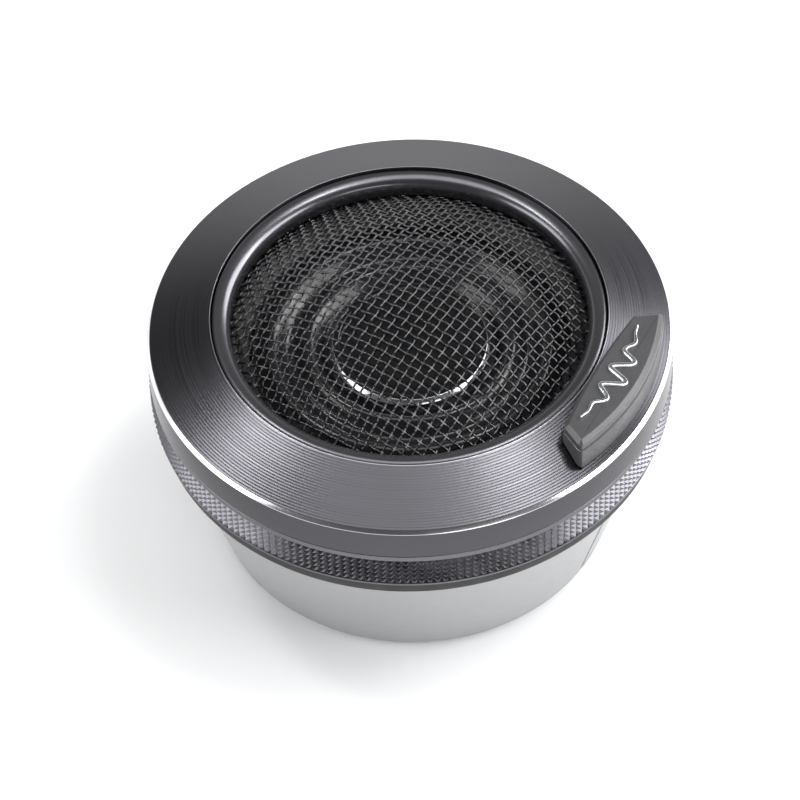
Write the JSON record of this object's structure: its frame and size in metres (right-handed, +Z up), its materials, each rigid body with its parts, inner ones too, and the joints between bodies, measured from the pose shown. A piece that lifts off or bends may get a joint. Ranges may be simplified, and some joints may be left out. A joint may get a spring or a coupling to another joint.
{
  "type": "car tweeter",
  "caption": "Round ring-radiator car tweeter with domed mesh grille, machined trim ring, knurled twist lock ring and tapered surface-mount cup.",
  "frame": {"origin": "centre of the cup's base face", "axes": "+Z up along the tweeter's axis, out through the grille; +X and -Y are the sides that the badge lies between"},
  "size_m": [0.0552, 0.0552, 0.034],
  "materials": {
    "cup_paint": "satin silver grey",
    "foam": "closed-cell foam with adhesive",
    "rubber": "matt",
    "black_nylon": "fine moulded",
    "dark_anodised": "turned and anodised dark grey",
    "zinc_steel": "zinc plated",
    "black_satin": "satin black",
    "black_wire": "semi-gloss black",
    "badge_grey": "satin",
    "bright_metal": "satin chrome",
    "plated_iron": "nickel plated soft iron",
    "nickel": "nickel plated",
    "copper": "bare copper",
    "felt": "wool felt",
    "gloss_black": "gloss black with a polished bevel",
    "coated_silk": "doped, glossy",
    "former_film": "amber film",
    "board": "glass-epoxy board",
    "brass_tab": "bare brass"
  },
  "bodies": {
    "cup": {"rear_cup": "cup_paint", "base_pad": "foam", "cable_door": "cup_paint", "cable_grommet": "rubber", "slip_washer": "black_nylon"},
    "ring": {"twist_ring": "dark_anodised"},
    "head": {"chassis": "black_nylon", "head_gasket": "rubber", "trim_ring": "dark_anodised", "trim_screws": "zinc_steel", "face_plate": "black_satin", "grille_ring": "black_satin", "grille_mesh": "black_wire", "mesh_retainer": "black_satin", "badge_base": "badge_grey", "badge_cap": "badge_grey", "badge_emblem": "bright_metal", "badge_pad": "foam", "pot_yoke": "plated_iron", "magnet": "nickel", "pole_disc": "plated_iron", "shorting_cap": "copper", "gap_felt": "felt", "pole_felt": "felt", "phase_plug": "gloss_black", "motor_bolt": "zinc_steel", "diaphragm_frame": "black_nylon", "lead_wires": "copper", "terminal_board": "board", "terminal_tabs": "brass_tab", "terminal_rivets": "brass_tab"},
    "moving_coil": {"diaphragm": "coated_silk", "coil_former": "former_film", "voice_coil": "copper"}
  },
  "joints": [
    {"name": "ring_twist", "type": "hinge", "parent": "cup", "child": "ring", "pos_m": [0, 0, 0.019], "axis": [0, 0, 1], "range_deg": [0, 60]},
    {"name": "head_lift", "type": "slide", "parent": "cup", "child": "head", "axis": [0, 0, 1], "range_m": [0, 0.0012]},
    {"name": "coil_travel", "type": "slide", "parent": "head", "child": "moving_coil", "axis": [0, 0, 1], "range_m": [-0.0003, 0.0003], "stiffness_N_per_m": 80}
  ],
  "couplings": [
    {"joint": "ring_twist", "follows": "head_lift", "rad_per_m": 872.66}
  ]
}
